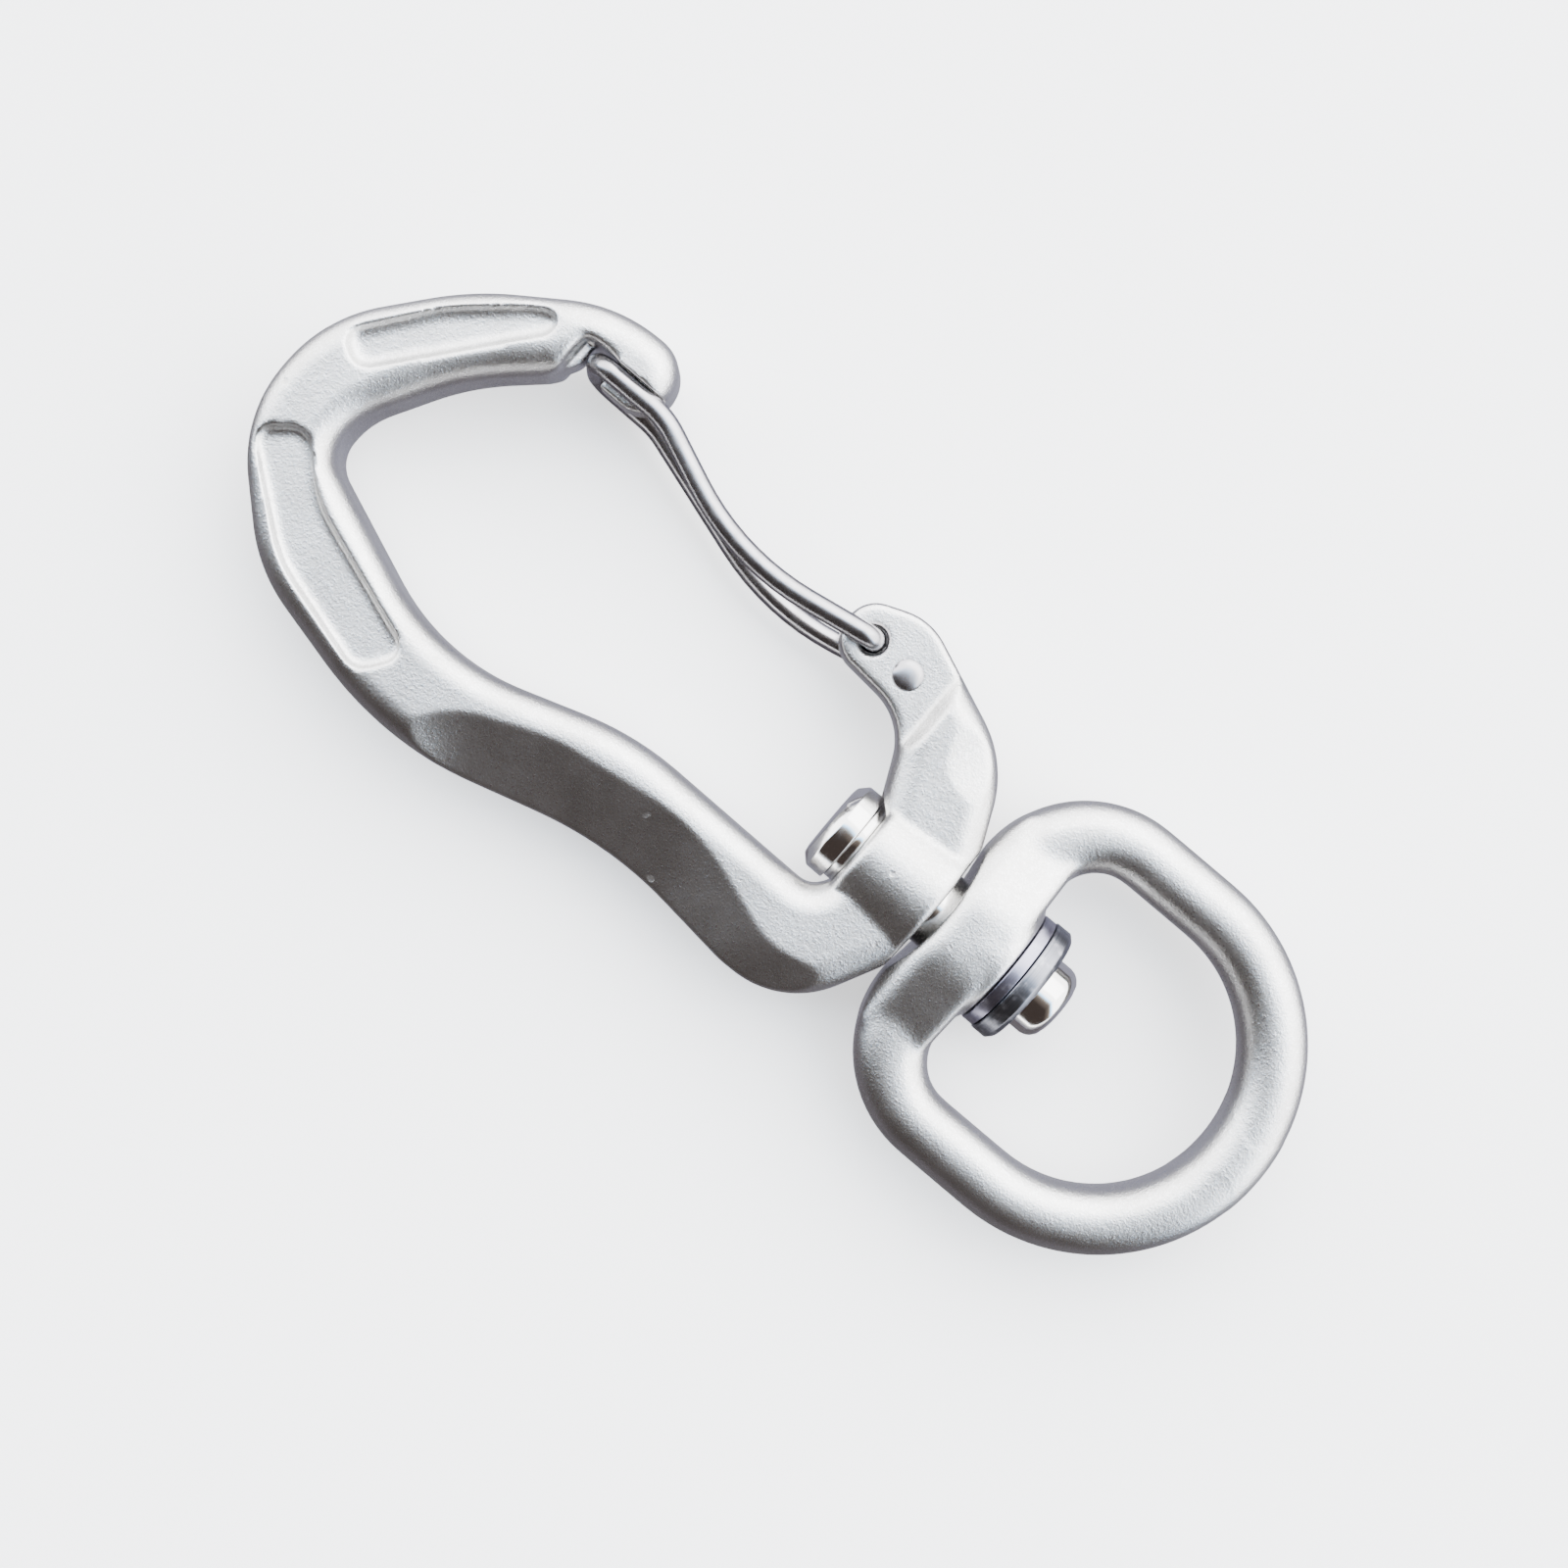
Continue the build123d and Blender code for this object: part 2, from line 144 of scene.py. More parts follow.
class NodeBench:
    """Adds nodes to one node tree."""

    def __init__(self, tree: bpy.types.NodeTree) -> None:
        """Take a tree and clear it.

        Args:
            tree: The node tree to build in.
        """
        self.tree = tree
        tree.nodes.clear()

    def node(self, kind: str, settings: Optional[dict[str, Any]] = None,
             sockets: Optional[dict[Union[int, str], Any]] = None, out: Union[int, str] = 0) -> Signal:
        """Add a node, set it up and feed its sockets.

        Args:
            kind: The node's type name.
            settings: Properties to set first; "stops" fills a colour ramp.
            sockets: Input name or number to a value or a Signal.
            out: The output to return.

        Returns:
            The chosen output.
        """
        made = self.tree.nodes.new(kind)
        for name, value in (settings or {}).items():
            if name == "stops":
                self._fill_ramp(made.color_ramp, value)
            else:
                setattr(made, name, value)
        for name, value in (sockets or {}).items():
            if isinstance(value, Signal):
                self.tree.links.new(value.socket, made.inputs[name])
            else:
                made.inputs[name].default_value = value
        outputs = made.outputs
        return Signal(self, outputs[out]) if len(outputs) else Signal(self, None)

    @staticmethod
    def _fill_ramp(ramp: bpy.types.ColorRamp, stops: Sequence[tuple[float, Sequence[float]]]) -> None:
        """Put stops on a ramp.

        Args:
            ramp: The ramp to fill.
            stops: Position and colour of each stop, in order.
        """
        while len(ramp.elements) < len(stops):
            ramp.elements.new(0.5)
        for element, (position, colour) in zip(ramp.elements, stops):
            element.position = position
            element.color = (*colour, 1.0)

    def place(self) -> Signal:
        """Where the shaded point is, in the object's own coordinates."""
        return self.node("ShaderNodeTexCoord", out="Object")

    def axes(self, vector: Signal) -> tuple[Signal, Signal, Signal]:
        """Split a vector.

        Args:
            vector: The vector to split.

        Returns:
            Its x, y and z.
        """
        x = self.node("ShaderNodeSeparateXYZ", sockets={0: vector})
        return (x, Signal(self, x.socket.node.outputs[1]), Signal(self, x.socket.node.outputs[2]))

    def noise(self, where: Signal, size_mm: float, detail: float = 2.0, roughness: float = 0.5) -> Signal:
        """Fractal noise.

        Args:
            where: The coordinates it is read at.
            size_mm: The size of its largest grains.
            detail: The number of octaves.
            roughness: The weight of the finer octaves.

        Returns:
            A value around 0.5.
        """
        sockets = {"Vector": where, "Scale": 1.0 / (size_mm * MM), "Detail": detail, "Roughness": roughness}
        return self.node("ShaderNodeTexNoise", sockets=sockets)

    def mix(self, share: Union[Signal, float], one: Any, other: Any) -> Signal:
        """Mix two colours.

        Args:
            share: How much of the second.
            one: The first colour or signal.
            other: The second colour or signal.

        Returns:
            The mixed colour.
        """
        settings = {"data_type": "RGBA", "blend_type": "MIX"}
        return self.node("ShaderNodeMix", settings, {0: share, 6: one, 7: other}, out=2)

    def bump(self, height: Signal, depth_mm: float, strength: float = 1.0) -> Signal:
        """A bumped normal.

        Args:
            height: The height, 0 to 1.
            depth_mm: How deep a full step is.
            strength: How strongly it tilts the surface.

        Returns:
            The normal.
        """
        sockets = {"Height": height, "Distance": depth_mm * MM, "Strength": strength}
        return self.node("ShaderNodeBump", sockets=sockets)


def rgba(red: float, green: float, blue: float) -> tuple[float, float, float, float]:
    """A colour with full alpha."""
    return (red, green, blue, 1.0)


# ---------------------------------------------------------------------------------- finishes
class Slot(enum.Enum):
    """The record's material slots."""

    ALLOY = "blasted_alloy"
    WIRE = "spring_wire"
    POLISHED = "polished_steel"
    WASHER = "washer_steel"


@dataclass(frozen=True)
class Finish:
    """A metal finish: its slot, and what stays the same all over it."""

    slot: Slot
    label: str
    metallic: float = 1.0

    def material(self) -> bpy.types.Material:
        """Make the material.

        Returns:
            The finished material.
        """
        made = bpy.data.materials.new(self.label)
        made.use_nodes = True
        bench = NodeBench(made.node_tree)
        sockets = {"Metallic": self.metallic, **self.surface(bench)}
        shader = bench.node("ShaderNodeBsdfPrincipled", sockets=sockets)
        bench.node("ShaderNodeOutputMaterial", sockets={"Surface": shader})
        return made

    def surface(self, bench: NodeBench) -> dict[str, Any]:
        """What varies over the surface.

        Args:
            bench: The bench of the material's tree.

        Returns:
            Socket names and what feeds them.
        """
        raise NotImplementedError


@dataclass(frozen=True)
class BlastedAlloy(Finish):
    """Bead-blasted and clear-anodised aluminium with fine bright grain and a few handling marks."""

    slot: Slot = Slot.ALLOY
    label: str = "blasted alloy"
    pale: tuple[float, float, float, float] = rgba(0.91, 0.915, 0.92)
    dull: tuple[float, float, float, float] = rgba(0.60, 0.59, 0.575)
    grain_mm: float = 0.20
    cloud_mm: float = 6.0
    nick_mm: float = 2.6

    def surface(self, bench: NodeBench) -> dict[str, Any]:
        """Grain, cloudy anodising and small nicks.

        Args:
            bench: The bench of the material's tree.

        Returns:
            Socket names and what feeds them.
        """
        where = bench.place()
        grain = bench.noise(where, self.grain_mm, 3.0, 0.65)
        coarse = bench.noise(where, self.grain_mm * 2.2, 2.0, 0.6)
        clouds = bench.noise(where, self.cloud_mm, 3.0, 0.55)
        nicks = bench.noise(where, self.nick_mm, 1.0, 0.4).step(0.76, 0.80)
        speckle = (grain * 0.7 + coarse * 0.3).step(0.46, 0.70)
        shade = speckle * 0.7 + clouds.step(0.3, 0.7) * 0.3 - nicks * 0.5
        roughness = 0.215 + (1 - speckle) * 0.07 + clouds * 0.05 + nicks * 0.1
        height = grain * 0.8 + coarse * 0.5 - nicks * 0.8
        return {
            "Base Color": bench.mix(shade, self.dull, self.pale),
            "Roughness": roughness,
            "Normal": bench.bump(height, 0.06, 0.85),
        }


@dataclass(frozen=True)
class PolishedSteel(Finish):
    """Turned and polished stainless steel with faint turning rings about the swivel axis."""

    slot: Slot = Slot.POLISHED
    label: str = "polished steel"
    bright: tuple[float, float, float, float] = rgba(0.83, 0.82, 0.80)
    smoky: tuple[float, float, float, float] = rgba(0.66, 0.65, 0.64)
    ring_mm: float = 0.09

    def surface(self, bench: NodeBench) -> dict[str, Any]:
        """Fine rings, hairline scratches and a few rubbed spots.

        Args:
            bench: The bench of the material's tree.

        Returns:
            Socket names and what feeds them.
        """
        where = bench.place()
        x, _, _ = bench.axes(where)
        along = bench.node("ShaderNodeCombineXYZ", sockets={0: x})
        rings = bench.noise(along, self.ring_mm, 2.0, 0.6)
        rubbed = bench.noise(where, 1.6, 3.0, 0.6).step(0.45, 0.75)
        return {
            "Base Color": bench.mix(rubbed * 0.5 + rings * 0.2, self.bright, self.smoky),
            "Roughness": 0.07 + rings * 0.05 + rubbed * 0.08,
            "Normal": bench.bump(rings, 0.004, 0.35),
        }


@dataclass(frozen=True)
class WasherSteel(Finish):
    """Dark bluish steel, turned, with rings on its faces and a worn bright edge here and there."""

    slot: Slot = Slot.WASHER
    label: str = "washer steel"
    dark: tuple[float, float, float, float] = rgba(0.17, 0.175, 0.20)
    worn: tuple[float, float, float, float] = rgba(0.44, 0.44, 0.48)
    axis_y_mm: float = 0.0
    axis_z_mm: float = 0.0

    def surface(self, bench: NodeBench) -> dict[str, Any]:
        """Turning rings about the swivel axis, and wear.

        Args:
            bench: The bench of the material's tree.

        Returns:
            Socket names and what feeds them.
        """
        where = bench.place()
        x, y, z = bench.axes(where)
        off_y = y - self.axis_y_mm * MM
        off_z = z - self.axis_z_mm * MM
        radius = (off_y * off_y + off_z * off_z).sqrt()
        turned = bench.node("ShaderNodeCombineXYZ", sockets={0: x, 1: radius})
        rings = bench.noise(turned, 0.16, 3.0, 0.6)
        wear = bench.noise(where, 1.1, 4.0, 0.65).step(0.48, 0.72)
        return {
            "Base Color": bench.mix(wear * 0.55 + rings.step(0.4, 0.7) * 0.3, self.dark, self.worn),
            "Roughness": 0.24 + rings * 0.12 + wear * 0.1,
            "Normal": bench.bump(rings, 0.012, 0.6),
        }


@dataclass(frozen=True)
class SpringWire(Finish):
    """Drawn stainless wire: smooth grey steel, a little uneven, with rubbed dull patches."""

    slot: Slot = Slot.WIRE
    label: str = "spring wire"
    bright: tuple[float, float, float, float] = rgba(0.44, 0.43, 0.45)
    dull: tuple[float, float, float, float] = rgba(0.30, 0.29, 0.29)

    def surface(self, bench: NodeBench) -> dict[str, Any]:
        """Drawing unevenness and dull patches.

        Args:
            bench: The bench of the material's tree.

        Returns:
            Socket names and what feeds them.
        """
        where = bench.place()
        lines = bench.noise(where, 0.9, 3.0, 0.55)
        patches = bench.noise(where, 2.4, 4.0, 0.6).step(0.42, 0.74)
        return {
            "Base Color": bench.mix(patches * 0.6 + lines * 0.2, self.bright, self.dull),
            "Roughness": 0.20 + lines * 0.08 + patches * 0.08,
            "Normal": bench.bump(lines, 0.004, 0.2),
        }


# ---------------------------------------------------------------------------------- shop tools
def finished_object(name: str, work: bmesh.types.BMesh, finish: bpy.types.Material,
                    crease_deg: float = 40.0) -> bpy.types.Object:
    """Turn a bmesh into a dressed object at the origin.

    Args:
        name: The piece's name.
        work: The modelled mesh, in metres; it is freed.
        finish: Its material.
        crease_deg: Edges sharper than this stay sharp in the shading.

    Returns:
        The object.
    """
    mesh = bpy.data.meshes.new(name)
    work.to_mesh(mesh)
    work.free()
    mesh.shade_smooth()
    mesh.set_sharp_from_angle(angle=math.radians(crease_deg))
    mesh.materials.append(finish)
    piece = bpy.data.objects.new(name, mesh)
    bpy.context.scene.collection.objects.link(piece)
    return piece


@dataclass
class Forging:
    """A forging's visible skin: the CAD solid, meshed evenly and softened except where it is machined."""

    source: bpy.types.Object
    body: str
    voxel: float = 0.18
    soften_rounds: int = 9
    crisp_rounds: int = 3
    worn_rounds: int = 45
    soften_factor: float = 0.5
    most_triangles: int = 190000
    weld: float = 0.001
    machined: list[Callable[[Vector], bool]] = field(default_factory=list)
    worn: list[Callable[[Vector], bool]] = field(default_factory=list)

    def _even_mesh(self) -> bpy.types.Mesh:
        """Copy the CAD mesh, merge it and remesh it evenly.

        Returns:
            The evenly meshed copy.
        """
        merged = bmesh.new()
        merged.from_mesh(self.source.data)
        bmesh.ops.remove_doubles(merged, verts=merged.verts, dist=self.weld * MM)
        copy = bpy.data.meshes.new(self.source.name + " copy")
        merged.to_mesh(copy)
        merged.free()
        holder = bpy.data.objects.new(self.source.name + " holder", copy)
        bpy.context.scene.collection.objects.link(holder)
        remesh = holder.modifiers.new("even", "REMESH")
        remesh.mode = "VOXEL"
        remesh.voxel_size = self.voxel * MM
        graph = bpy.context.evaluated_depsgraph_get()
        even = bpy.data.meshes.new_from_object(holder.evaluated_get(graph))
        bpy.data.objects.remove(holder)
        bpy.data.meshes.remove(copy)
        return even

    def build(self, finish: bpy.types.Material, slot: Slot) -> bpy.types.Object:
        """Build and dress the forging.

        Args:
            finish: Its material.
            slot: Its slot in the record; not used.

        Returns:
            The finished piece, riding on its body.
        """
        work = bmesh.new()
        work.from_mesh(self._even_mesh())
        soft = [v for v in work.verts if not any(test(v.co) for test in self.machined)]
        rubbed = [v for v in work.verts if any(test(v.co) for test in self.worn)]
        for verts, rounds in ((list(work.verts), self.crisp_rounds), (rubbed, self.worn_rounds),
                              (soft, self.soften_rounds)):
            for _ in range(rounds if verts else 0):
                bmesh.ops.smooth_vert(work, verts=verts, factor=self.soften_factor, use_axis_x=True,
                                      use_axis_y=True, use_axis_z=True)
        piece = finished_object(self.source.name + "_forged", work, finish, 60.0)
        triangles = sum(len(p.vertices) - 2 for p in piece.data.polygons)
        if triangles > self.most_triangles:
            thin = piece.modifiers.new("thin out", "DECIMATE")
            thin.ratio = self.most_triangles / triangles
        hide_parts(self.source.name)
        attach(piece, self.body)
        LOG.info("%s: %d faces", piece.name, len(piece.data.polygons))
        return piece


@dataclass
class TurnedPart:
    """A part turned about the swivel axis from (x, radius) corners."""

    name: str
    node: str
    body: str
    profile: list[tuple[float, float]]
    axis_y: float
    axis_z: float
    closed: bool = True
    segments: int = 96
    edge_round: float = 0.12
    round_segments: int = 3
    weld: float = 0.0005
    sharp_deg: float = 28.0

    def build(self, finish: bpy.types.Material, slot: Slot) -> bpy.types.Object:
        """Turn, bevel and dress the part.

        Args:
            finish: Its material.
            slot: Its slot in the record; not used.

        Returns:
            The finished piece, riding on its body.
        """
        work = bmesh.new()
        corners = [work.verts.new((x * MM, (self.axis_y + r) * MM, self.axis_z * MM))
                   for x, r in self.profile]
        pairs = list(zip(corners, corners[1:]))
        if self.closed:
            pairs.append((corners[-1], corners[0]))
        edges = [work.edges.new(pair) for pair in pairs]
        bmesh.ops.spin(work, geom=corners + edges, cent=(0, self.axis_y * MM, self.axis_z * MM),
                       axis=(1, 0, 0), angle=2 * math.pi, steps=self.segments, use_merge=True,
                       use_normal_flip=False, use_duplicate=False)
        bmesh.ops.remove_doubles(work, verts=work.verts, dist=self.weld * MM)
        bmesh.ops.recalc_face_normals(work, faces=work.faces)
        limit = math.radians(self.sharp_deg)
        sharp = [e for e in work.edges if len(e.link_faces) == 2 and e.calc_face_angle() > limit]
        bmesh.ops.bevel(work, geom=sharp, offset=self.edge_round * MM, offset_type="OFFSET",
                        segments=self.round_segments, profile=0.5, affect="EDGES", material=-1,
                        clamp_overlap=True)
        piece = finished_object(self.name, work, finish, 50.0)
        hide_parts(self.node)
        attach(piece, self.body)
        LOG.info("%s: %d faces", piece.name, len(piece.data.polygons))
        return piece


class WireBender:
    """Bends a round wire from straight runs and tangent bends, as a bender's fingers would."""

    DEGREES_PER_STEP = 4
    SHORTEST_RUN = 1e-4
    HEAD_LIP = 0.02
    HEAD_CHAMFER = 0.08
    DOME_SHARES = (0.35, 0.65, 0.85)

    def __init__(self, radius: float, segments: int = 20) -> None:
        """Take the wire's size.

        Args:
            radius: The wire's radius.
            segments: The sides of its section.
        """
        self.radius = radius
        self.segments = segments
        self.work = bmesh.new()
        self.ring: list[bmesh.types.BMEdge] = []
        self.tip = Vector()
        self.heading = Vector((0, 0, 1))

    def start(self, point: Vector, heading: Vector) -> None:
        """Put the first ring down.

        Args:
            point: Where the wire starts.
            heading: Which way it goes.
        """
        turn = heading.to_track_quat("Z", "Y").to_matrix().to_4x4()
        made = bmesh.ops.create_circle(self.work, segments=self.segments, radius=self.radius * MM,
                                       cap_ends=True, matrix=Matrix.Translation(point * MM) @ turn)
        self.ring = list({e for v in made["verts"] for e in v.link_edges})
        self.tip, self.heading = point.copy(), heading.normalized()

    def _ring_verts(self) -> list[bmesh.types.BMVert]:
        """The points of the last ring."""
        return list({v for e in self.ring for v in e.verts})

    def step(self, advance: float, radius: Optional[float] = None) -> None:
        """Run straight on, or flare to another radius.

        Args:
            advance: How far to go.
            radius: The new radius; the wire's own if left out.
        """
        made = bmesh.ops.extrude_edge_only(self.work, edges=self.ring)
        self.ring = [g for g in made["geom"] if isinstance(g, bmesh.types.BMEdge)]
        verts = self._ring_verts()
        bmesh.ops.translate(self.work, verts=verts, vec=self.heading * advance * MM)
        self.tip = self.tip + self.heading * advance
        if radius is not None:
            for vert in verts:
                spoke = vert.co - self.tip * MM
                vert.co = self.tip * MM + spoke.normalized() * radius * MM

    def run(self, distance: float, stride: float = 0.7) -> None:
        """A straight run, in short strides.

        Args:
            distance: The length of the run.
            stride: The longest stride.
        """
        if distance < self.SHORTEST_RUN:
            return
        strides = max(1, math.ceil(distance / stride))
        for _ in range(strides):
            self.step(distance / strides)

    def bend(self, centre: Vector, axis: Vector, angle: float) -> None:
        """Bend round a pin.

        Args:
            centre: The pin's centre.
            axis: The pin's axis.
            angle: How far to bend, in radians.
        """
        steps = max(4, math.ceil(math.degrees(angle) / self.DEGREES_PER_STEP))
        made = bmesh.ops.spin(self.work, geom=self.ring, cent=centre * MM, axis=axis, angle=angle,
                              steps=steps, use_merge=False, use_normal_flip=False, use_duplicate=False)
        self.ring = [g for g in made["geom_last"] if isinstance(g, bmesh.types.BMEdge)]
        turn = Matrix.Rotation(angle, 3, axis)
        self.tip = centre + turn @ (self.tip - centre)
        self.heading = turn @ self.heading

    def follow(self, corners: Sequence[tuple[Vector, float]]) -> None:
        """Run through corners, each rounded by its own bend.

        Args:
            corners: Each corner and its bend radius, with the end last.
        """
        for i, (corner, radius) in enumerate(corners):
            if not radius:
                self.run((corner - self.tip).length)
                continue
            ahead = (corners[i + 1][0] - corner).normalized()
            angle = self.heading.angle(ahead)
            reach = radius * math.tan(angle / 2)
            self.run((corner - self.tip).length - reach)
            axis = self.heading.cross(ahead).normalized()
            inward = axis.cross(self.heading).normalized()
            self.bend(self.tip + inward * radius, axis, angle)

    def dome(self, head_radius: float, thick: float) -> None:
        """Upset the end into a low domed head and close it.

        Args:
            head_radius: The head's radius.
            thick: The head's thickness.
        """
        self.step(self.HEAD_LIP, head_radius - self.HEAD_CHAMFER)
        self.step(thick * 0.25, head_radius)
        for share in self.DOME_SHARES:
            rise = thick * 0.75 * (math.sin(share * math.pi / 2) - math.sin((share - 0.3) * math.pi / 2))
            self.step(max(rise, 0.03), head_radius * math.cos(share * math.pi / 2) ** 0.6)
        self.close()

    def close(self) -> None:
        """Close the last ring with a face."""
        bmesh.ops.contextual_create(self.work, geom=self.ring)


# ---------------------------------------------------------------------------------- sub-assemblies
@dataclass
class Axle:
    """Where the swivel axis is, read from the CAD frame, and the sizes of what turns on it."""

    hollow_r: float = 3.86
    shank_r: float = 3.8

    def __post_init__(self) -> None:
        """Read the pin's box."""
        low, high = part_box("swivel_pin")
        self.y = (low.y + high.y) / 2 / MM
        self.z = (low.z + high.z) / 2 / MM
        self.head_x, self.tail_x = low.x / MM, high.x / MM

    def off_axis(self, point: Vector) -> float:
        """How far a point in metres is from the axis, in millimetres."""
        return math.hypot(point.y / MM - self.y, point.z / MM - self.z)

    def span(self, node: str) -> tuple[float, float]:
        """Where a node starts and ends along the axis."""
        low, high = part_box(node)
        return low.x / MM, high.x / MM


@dataclass
class SwivelPinSet:
    """The polished pin with its head and rounded tail, and the three washers on it."""

    axle: Axle
    head_r: float = 4.7
    head_thick: float = 2.7
    head_crown: tuple[tuple[float, float], ...] = ((0.0, 0.0), (0.0, 1.2), (0.02, 3.35), (0.12, 3.85))
    tail_round: tuple[tuple[float, float], ...] = ((1.4, 0.0), (0.95, 0.12), (0.55, 0.36), (0.22, 0.75),
                                                   (0.0, 1.4))
    head_bevel: float = 0.95
    head_washer_r: float = 4.3
    inner_washer_r: float = 6.1
    retainer_r: float = 6.25
    retainer_bevel: float = 0.5

    def build(self, polished: bpy.types.Material, dark: bpy.types.Material,
              pale: bpy.types.Material) -> None:
        """Build the pin and its washers.

        Args:
            polished: The pin's finish.
            dark: The thick washer's finish.
            pale: The thin inner washer's finish.
        """
        self._pin(polished)
        self._washer("head_washer_turned", "head_washer", "head_washer", self.head_washer_r, 0.1, polished,
                     Slot.POLISHED)
        self._washer("inner_washer_turned", "inner_washer", "inner_washer", self.inner_washer_r, 0.12, pale,
                     Slot.WASHER)
        self._retainer(dark)

    def _pin(self, polished: bpy.types.Material) -> None:
        """The pin: crowned head, shank and rounded tail.

        Args:
            polished: Its finish.
        """
        a = self.axle
        under = a.head_x + self.head_thick
        profile = [(a.head_x + depth, radius) for depth, radius in self.head_crown]
        profile += [(a.head_x + self.head_bevel, self.head_r - 0.02), (under, self.head_r),
                    (under, a.shank_r)]
        profile += [(a.tail_x - back, a.shank_r - less) for back, less in self.tail_round]
        profile.append((a.tail_x, 0.0))
        pin = TurnedPart("swivel_pin_turned", "swivel_pin", "pin", profile, a.y, a.z, closed=False,
                         edge_round=0.12)
        pin.build(polished, Slot.POLISHED)

    def _washer(self, name: str, node: str, body: str, outer_r: float, edge: float,
                finish: bpy.types.Material, slot: Slot) -> None:
        """A plain washer.

        Args:
            name: The piece's name.
            node: The CAD node it replaces.
            body: The body it rides on.
            outer_r: Its outer radius.
            edge: How much its edges are rounded.
            finish: Its material.
            slot: Its slot in the record.
        """
        start, end = self.axle.span(node)
        profile = [(start, self.axle.hollow_r), (start, outer_r), (end, outer_r), (end, self.axle.hollow_r)]
        TurnedPart(name, node, body, profile, self.axle.y, self.axle.z, edge_round=edge).build(finish, slot)

    def _retainer(self, dark: bpy.types.Material) -> None:
        """The thick washer on the pin's tail, bevelled on its outer side.

        Args:
            dark: Its finish.
        """
        start, end = self.axle.span("retaining_washer")
        bevel = self.retainer_bevel
        profile = [
            (start, self.axle.shank_r), (start, self.retainer_r), (end - bevel, self.retainer_r),
            (end, self.retainer_r - bevel), (end, self.axle.shank_r),
        ]
        TurnedPart("retaining_washer_turned", "retaining_washer", "pin", profile, self.axle.y, self.axle.z,
                   edge_round=0.1).build(dark, Slot.WASHER)


@dataclass
class WireGate:
    """The gate: one bent wire from its outer hole, round the nose and back to its inner hole.

    The legs' corners are measured from the gate's hinge axis.
    """

    hinge: Vector
    anchor: Vector
    wire_r: float = 1.05
    lug_half_thick: float = 3.4
    leg_z_nose: float = 3.3
    leg_z_lug: float = 4.7
    loop_x: float = -35.8
    loop_y_front: float = 3.2
    loop_y_back: float = 2.6
    loop_bend: float = 2.0
    elbow: float = 1.2
    front_leg: tuple[tuple[float, float, float], ...] = ((-14.35, -2.45, 26.0), (-27.65, 3.2, 9.0))
    back_leg: tuple[tuple[float, float, float], ...] = ((-28.55, 2.5, 9.0), (-9.45, -3.45, 26.0))
    head_r: float = 1.45
    head_thick: float = 0.45
    head_gap: float = 0.03
    flex_start: float = 1.2
    flex_length: float = 3.6

    def _leg_z(self, x: float) -> float:
        """How far a leg stands from the mid-plane at x."""
        share = (x - self.loop_x) / -self.loop_x
        return self.leg_z_nose + share * (self.leg_z_lug - self.leg_z_nose)

    def _corner(self, x: float, y: float, side: int) -> Vector:
        """A leg's corner, from its place beside the hinge axis."""
        return self.hinge + Vector((x, y, side * self._leg_z(x)))

    def build(self, finish: bpy.types.Material) -> bpy.types.Object:
        """Bend the wire and dress it.

        Args:
            finish: Its material.

        Returns:
            The finished gate.
        """
        up = Vector((0, 0, 1))
        stub_end = self.hinge - up * (self.lug_half_thick + self.head_gap)
        bender = WireBender(self.wire_r)
        corners = [(self.hinge + up * self.leg_z_lug, self.elbow)]
        corners += [(self._corner(x, y, 1), bend) for x, y, bend in self.front_leg]
        corners += [(self._corner(self.loop_x, self.loop_y_front, 1), self.loop_bend),
                    (self._corner(self.loop_x, self.loop_y_back, -1), self.loop_bend)]
        corners += [(self._corner(x, y, -1), bend) for x, y, bend in self.back_leg]
        corners += [(self.anchor - up * self.leg_z_lug, self.elbow),
                    (self.anchor + up * (self.lug_half_thick + self.head_gap), 0.0)]
        bender.start(stub_end, up)
        bender.follow(corners)
        bender.dome(self.head_r, self.head_thick)
        work = bender.work
        self._head_on_stub(work, stub_end)
        bmesh.ops.recalc_face_normals(work, faces=work.faces)
        piece = finished_object("gate_wire_bent", work, finish, 50.0)
        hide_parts("gate_wire", "gate_wire_anchor_end")
        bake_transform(piece)
        LOG.info("%s: %d faces", piece.name, len(piece.data.polygons))
        return piece

    def _head_on_stub(self, work: bmesh.types.BMesh, stub_end: Vector) -> None:
        """Upset the wire's first end on the far side of the lug.

        Args:
            work: The wire's mesh.
            stub_end: Where the wire was started.
        """
        start_cap = min(work.faces, key=lambda f: (f.calc_center_median() - stub_end * MM).length)
        centre = start_cap.calc_center_median()
        steps = ((WireBender.HEAD_LIP, self.head_r - WireBender.HEAD_CHAMFER), (0.12, self.head_r),
                 (0.2, self.head_r * 0.86), (0.1, self.head_r * 0.5))
        for advance, radius in steps:
            made = bmesh.ops.extrude_discrete_faces(work, faces=[start_cap])
            ring = made["faces"][0]
            centre = centre + Vector((0, 0, -advance * MM))
            for vert in ring.verts:
                spoke = vert.co - centre
                spoke.z = 0
                vert.co = centre + spoke.normalized() * radius * MM
            start_cap = ring


